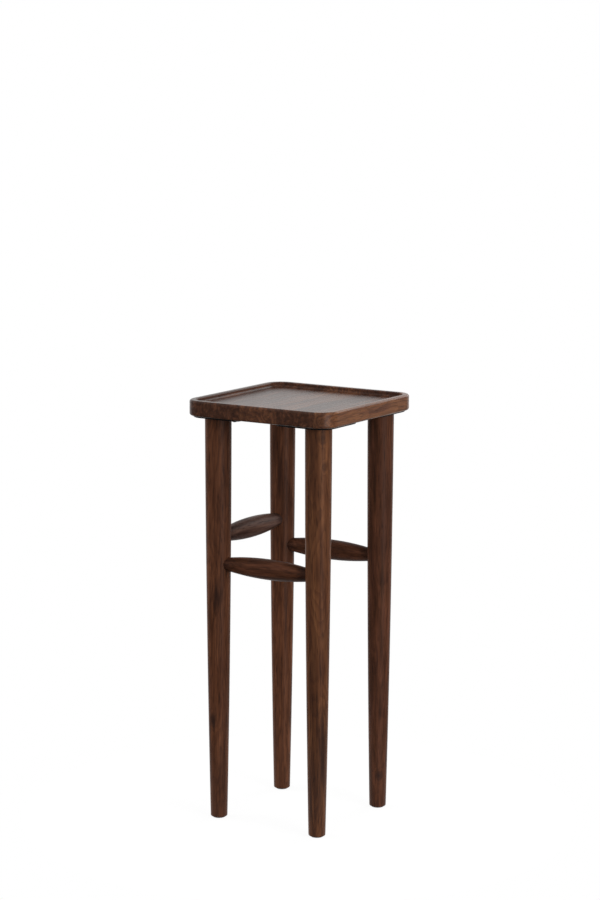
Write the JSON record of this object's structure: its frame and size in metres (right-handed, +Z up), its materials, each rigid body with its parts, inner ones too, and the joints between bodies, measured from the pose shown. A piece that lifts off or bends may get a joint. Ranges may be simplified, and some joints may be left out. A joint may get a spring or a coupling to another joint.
{
  "type": "wooden plinth",
  "caption": "Tall square plinth of dark stained wood: a lipped tray top on round tapered legs, tied by cigar-shaped spindle stretchers with one side left open.",
  "frame": {"origin": "on the floor, under the middle of the tray", "axes": "+Z up; -Y is the front, with a stretcher; +X is the right side, which has no stretcher"},
  "size_m": [0.3, 0.3, 0.76],
  "materials": {
    "stained_wood": "satin",
    "black_steel": "satin",
    "plated_steel": "bright",
    "dark_nylon": "matte"
  },
  "bodies": {
    "root": {"tray_top": "stained_wood", "stretcher_left": "stained_wood", "stretcher_front": "stained_wood", "stretcher_back": "stained_wood", "leg_front_left": "stained_wood", "leg_front_right": "stained_wood", "leg_back_right": "stained_wood", "leg_back_left": "stained_wood", "leg_plate_front_left": "black_steel", "leg_plate_front_right": "black_steel", "leg_plate_back_right": "black_steel", "leg_plate_back_left": "black_steel", "plate_screws_front_left": "black_steel", "plate_screws_front_right": "black_steel", "plate_screws_back_right": "black_steel", "plate_screws_back_left": "black_steel", "hanger_bolt_front_left": "plated_steel", "hanger_bolt_front_right": "plated_steel", "hanger_bolt_back_right": "plated_steel", "hanger_bolt_back_left": "plated_steel", "plate_nut_front_left": "plated_steel", "plate_nut_front_right": "plated_steel", "plate_nut_back_right": "plated_steel", "plate_nut_back_left": "plated_steel", "foot_glide_front_left": "dark_nylon", "foot_glide_front_right": "dark_nylon", "foot_glide_back_right": "dark_nylon", "foot_glide_back_left": "dark_nylon"}
  },
  "joints": []
}
